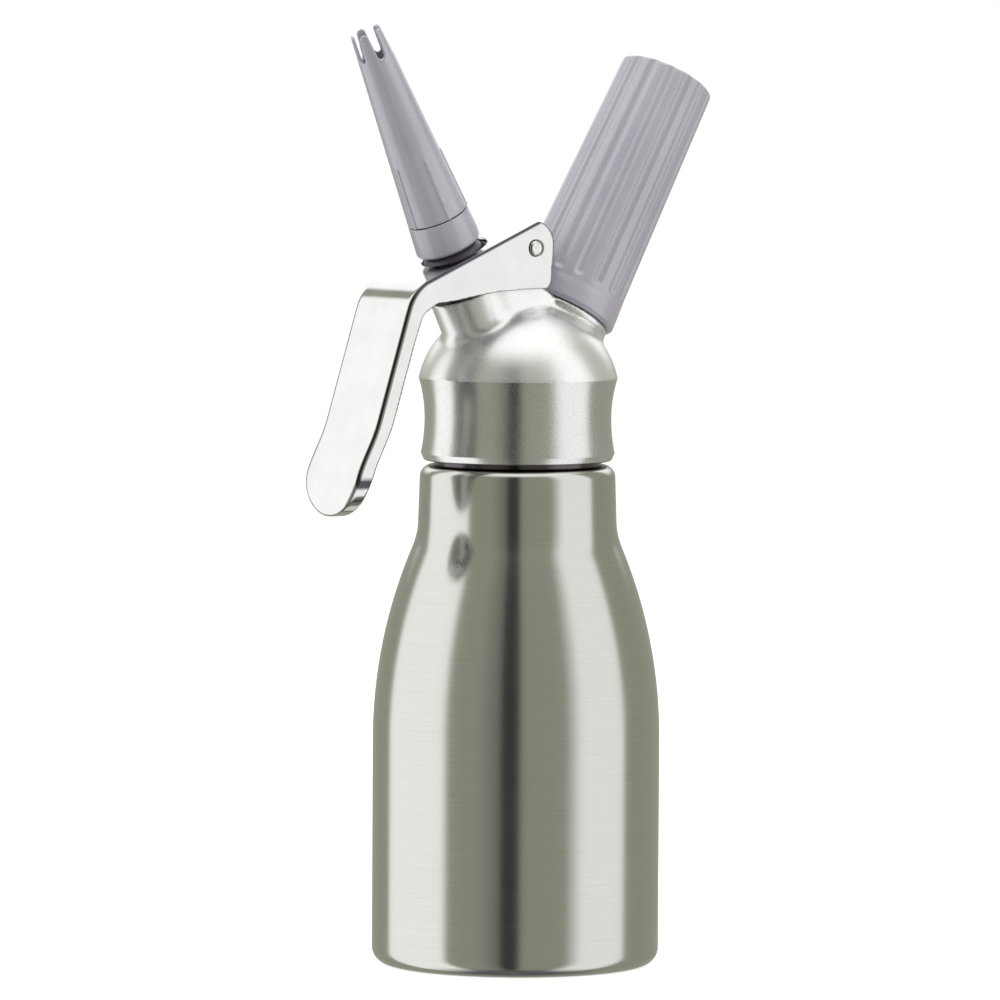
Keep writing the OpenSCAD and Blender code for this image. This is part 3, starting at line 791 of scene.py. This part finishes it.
adapter_profile = softened([(4.0, -4.5, 0), (8.5, -4.5, 0.3), (8.93, -3.9, 0.5), (8.93, -1.1, 1.0),
                            (8.0, 0.1, 0.9), (6.9, 0.65, 0.4), (6.6, 0.85, 0.2), (6.0, 0.95, 0.1),
                            (6.0, 7.0, 0.3), (5.4, 7.5, 0.3), (4.0, 7.5, 0)])
adapter = dress(turned("tip_adapter", adapter_profile, 96, VALVE, sharp=40), "tip_adapter")
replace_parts(adapter, "tip_adapter")


# ---- valve spring ----

SPRING_SIZES = {"Wire radius": 0.55, "Coil radius": 5.55, "Foot": -22.18, "Top": -5.87, "Turns": 6}
SPRING_STEPS, SQUEEZED = 28, 0.8355


def wound_wire(f, given):
    """round wire wound up Z, its ends running straight to the pocket and the cup"""
    wire, coil, last = given["Wire radius"], given["Coil radius"], given["Turns"] * SPRING_STEPS
    line = f.node("GeometryNodeCurvePrimitiveLine")
    line = f.node("GeometryNodeResampleCurve", None, {"Curve": line, "Count": last + 3})
    step = f.node("GeometryNodeInputIndex") - 1
    held = step.sum("MINIMUM", step.sum("MAXIMUM", step, 0.0), last)
    turn = held * (2 * math.pi / SPRING_STEPS)
    rise = given["Top"] - given["Foot"] - 4 * wire
    height = given["Foot"] + 2 * wire + rise * held / last + (step - held) * 2 * wire
    across, aside = coil * turn.sum("COSINE", turn), coil * turn.sum("SINE", turn)
    spot = f.node("ShaderNodeCombineXYZ", None, {0: across, 1: aside, 2: height})
    line = f.node("GeometryNodeSetPosition", None, {"Geometry": line, "Position": spot})
    ring = f.node("GeometryNodeCurvePrimitiveCircle", None, {"Resolution": 12, "Radius": wire})
    return f.node("GeometryNodeCurveToMesh", None, {"Curve": line, "Profile Curve": ring, "Fill Caps": True})


points, faces = grown("valve_spring", ([], []), SPRING_SIZES, wound_wire)
spring = dress(mesh_piece("valve_spring", points, faces, VALVE, sharp=50), "valve_spring")
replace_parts(spring, "valve_spring")
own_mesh(spring)


# ---- charger holder: a fluted shell ----

HOLDER_R, HOLDER_END_R, HOLDER_LEN, HOLDER_STEP = 16.1, 14.3, 78.5, 0.12
LINER_R, LINER_TOP, SEAT_R, SEAT_TOP = 10.42, 75.42, 12.92, 15.22
FLUTE_SIZES = {"Flutes": 16, "Cutter radius": 1.9, "Cutter height": 1.15, "Start": 10, "Foot": 8,
               "Radius": HOLDER_R - HOLDER_STEP, "Taper": (HOLDER_R - HOLDER_END_R) / HOLDER_LEN}


def pressed_flutes(f, given):
    """evenly spaced flutes with round ends, sunk into the shell above its foot"""
    split = f.node("ShaderNodeSeparateXYZ", None, {0: f.node("GeometryNodeInputPosition")})
    x, y, z = (Value(f, split.socket.node.outputs[k]) for k in range(3))
    radius = (x * x + y * y) ** 0.5
    pitch = 2 * math.pi / given["Flutes"]
    turn = x.sum("ARCTAN2", y, x)
    off = (turn.sum("FLOORED_MODULO", turn, pitch) - pitch / 2) * radius
    below = z.sum("MAXIMUM", given["Start"] - z, 0.0)
    round_cut = given["Cutter radius"] * given["Cutter radius"] - off * off - below * below
    depth = z.sum("MAXIMUM", round_cut, 0.0) ** 0.5 - given["Cutter height"]
    depth = (depth + (depth * depth + 0.006) ** 0.5) / 2
    share = z.sum("MINIMUM", (given["Radius"] - given["Taper"] * z - depth) / radius, 1.0)
    spot = f.node("ShaderNodeCombineXYZ", None, {0: x * share, 1: y * share, 2: z})
    return f.node("GeometryNodeSetPosition", None, {"Geometry": given["Shape"], "Position": spot,
                                                    "Selection": z.sum("GREATER_THAN", z, given["Foot"])})


def holder():
    """rows of the shell from its seat over its domed end, then back down its bore"""
    side = lambda z: HOLDER_R + (HOLDER_END_R - HOLDER_R) * z / HOLDER_LEN
    foot = softened([(SEAT_R, 0.15, 0), (15.1, 0.15, 0.5), (side(1.1), 1.1, 0.8), (side(6), 6, 0)])[:-1]
    heights = np.concatenate([[6.8], np.linspace(7.4, 11.5, 14), np.linspace(13, 75, 18)])
    straight = [(side(z), z) for z in (2.5, 4.5, 6.2)] + [(side(z) - HOLDER_STEP, z) for z in heights]
    rim = softened([(side(75.5) - HOLDER_STEP, 75.5, 0), (side(78.3) - 0.15, 78.3, 1.1), (11, 79.5, 0)], 8)
    crown = [(13.7 * t, HOLDER_LEN + 2.2 * (1 - t * t)) for t in (0.78, 0.6, 0.4, 0.2, 0)]
    bore = [(0, LINER_TOP), (LINER_R, LINER_TOP), (LINER_R, SEAT_TOP), (SEAT_R, SEAT_TOP)]
    outer = [tuple(p) for p in foot] + straight + [tuple(p) for p in rim[:-1]] + crown
    points, faces = grown("charger_holder", turned_shell(outer + bore, FLUTE_SIZES["Flutes"] * 20),
                          FLUTE_SIZES, pressed_flutes)
    return mesh_piece("charger_holder", points, faces, PORT, sharp=50)


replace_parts(dress(holder(), "charger_holder"), "charger_holder")


# ---- floor, background and light ----

def seen_directly(f):
    """1 on rays from the camera, a mirror or a glass, 0 on the light that falls on the object"""
    path = f.node("ShaderNodeLightPath", output="Is Camera Ray")
    glossy = Value(f, path.socket.node.outputs["Is Glossy Ray"])
    through = Value(f, path.socket.node.outputs["Is Transmission Ray"])
    return path.sum("MAXIMUM", path.sum("MAXIMUM", path, glossy), through)


def stage_mesh(name, points, faces, material):
    """a mesh round the object that isn't part of it"""
    mesh = bpy.data.meshes.new(name)
    mesh.from_pydata(points, [], faces)
    mesh.materials.append(material)
    made = bpy.data.objects.new(name, mesh)
    bpy.context.scene.collection.objects.link(made)
    made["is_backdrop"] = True
    return made


def floor():
    """pale floor that keeps the object's shadow"""
    f = Finish("white_floor")
    grain = f.spread(f.noise((0.002, 0.002, 0.002), 2, 0.5), 0, 1, 0.60, 0.62)
    diffuse = f.node("ShaderNodeBsdfDiffuse", None, {"Color": grey(0.8)})
    glow = f.node("ShaderNodeEmission", None, {"Color": grey(1.0), "Strength": seen_directly(f) * grain})
    both = f.node("ShaderNodeAddShader", None, {0: diffuse, 1: glow})
    f.node("ShaderNodeOutputMaterial", None, {"Surface": both})
    half = 14.0
    corners = [(-half, -half, 0), (half, -half, 0), (half, half, 0), (-half, half, 0)]
    plane = stage_mesh("floor", corners, [(0, 1, 2, 3)], f.material)
    plane.visible_glossy = False


def background():
    """white where it is seen, and a plain level of light on the object"""
    world = bpy.data.worlds.new("white_room")
    bpy.context.scene.world = world
    world.use_nodes = True
    f = Finish("white_room", world.node_tree)
    strength = f.spread(seen_directly(f), 0, 1, 0.55, 1.0)
    glow = f.node("ShaderNodeBackground", None, {"Color": grey(1.0), "Strength": strength})
    f.node("ShaderNodeOutputWorld", None, {"Surface": glow})


def studio_shell():
    """the studio round the object, seen only in reflections: bright panels on a grey surround"""
    f = Finish("studio_shell")
    split = f.node("ShaderNodeSeparateXYZ", None, {0: f.node("ShaderNodeTexCoord", output="Object")})
    x, y, z = (Value(f, split.socket.node.outputs[k]) for k in range(3))
    turn = x.sum("ARCTAN2", x, 0 - y) * (180 / math.pi) - math.degrees(AZIMUTH)
    turn = turn.sum("WRAP", turn, 180.0, -180.0)
    rise = z.sum("ARCTAN2", z, (x * x + y * y) ** 0.5) * (180 / math.pi)

    def band(first, last, soft_first, soft_last):
        return (f.spread(turn, first - soft_first, first + soft_first)
                * (1 - f.spread(turn, last - soft_last, last + soft_last)))

    surround = grey(0.40, 0.40, 0.335)
    colour = f.mixed(surround, grey(0.19, 0.175, 0.165), band(-19, 3, 12, 2))
    colour = f.mixed(colour, grey(0.05, 0.045, 0.05), band(-12, 2.5, 2, 1.5))
    colour = f.mixed(colour, grey(1.38, 1.38, 1.37), band(-121, -58, 2.5, 3))
    colour = f.mixed(colour, grey(1.25, 1.25, 1.24), band(47, 96, 7, 2.5))
    behind = (1 - band(-138, 138, 4, 4)) * f.spread(rise, 12, 24)
    colour = f.mixed(colour, grey(1.38, 1.38, 1.38), behind)
    colour = f.mixed(colour, grey(1.35, 1.35, 1.34), f.spread(rise, 47, 62))
    colour = f.mixed(colour, grey(0.16, 0.15, 0.16), f.spread(rise, -50, -72))
    glow = f.node("ShaderNodeEmission", None, {"Color": colour, "Strength": 1.0})
    f.node("ShaderNodeOutputMaterial", None, {"Surface": glow})
    radius, sides, rows = 1.5, 96, 48
    points = [(radius * math.cos(e) * math.cos(a), radius * math.cos(e) * math.sin(a), radius * math.sin(e))
              for e in np.linspace(-1.55, 1.55, rows) for a in np.arange(sides) * 2 * math.pi / sides]
    faces = [(r * sides + k, r * sides + (k + 1) % sides, (r + 1) * sides + (k + 1) % sides, (r + 1) * sides + k)
             for r in range(rows - 1) for k in range(sides)]
    shell = stage_mesh("studio_shell", points, faces, f.material)
    shell.visible_camera = shell.visible_diffuse = shell.visible_shadow = shell.visible_transmission = False


def lamp(name, turn, height, away, size, power):
    """a square softbox aimed at the object, at an angle from the camera's side"""
    data = bpy.data.lights.new(name, "AREA")
    data.shape = "SQUARE"
    data.size = size
    data.energy = power
    a = AZIMUTH + math.radians(turn)
    spot = Vector((math.sin(a) * away, -math.cos(a) * away, height))
    softbox = bpy.data.objects.new(name, data)
    bpy.context.scene.collection.objects.link(softbox)
    facing = (Vector((0, 0, 0.13)) - spot).to_track_quat("-Z", "Y").to_matrix().to_4x4()
    softbox.matrix_world = Matrix.Translation(spot) @ facing
    softbox.visible_glossy = False


floor()
background()
studio_shell()
lamp("left_softbox", -80, 0.9, 1.3, 0.9, 9)
lamp("right_softbox", 70, 0.9, 1.3, 0.9, 8)
lamp("top_softbox", 10, 1.6, 0.3, 1.0, 9)

scene = bpy.context.scene
scene.view_settings.view_transform = "Standard"

{"cad": cad_box, "visual": [list(corner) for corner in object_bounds()]}
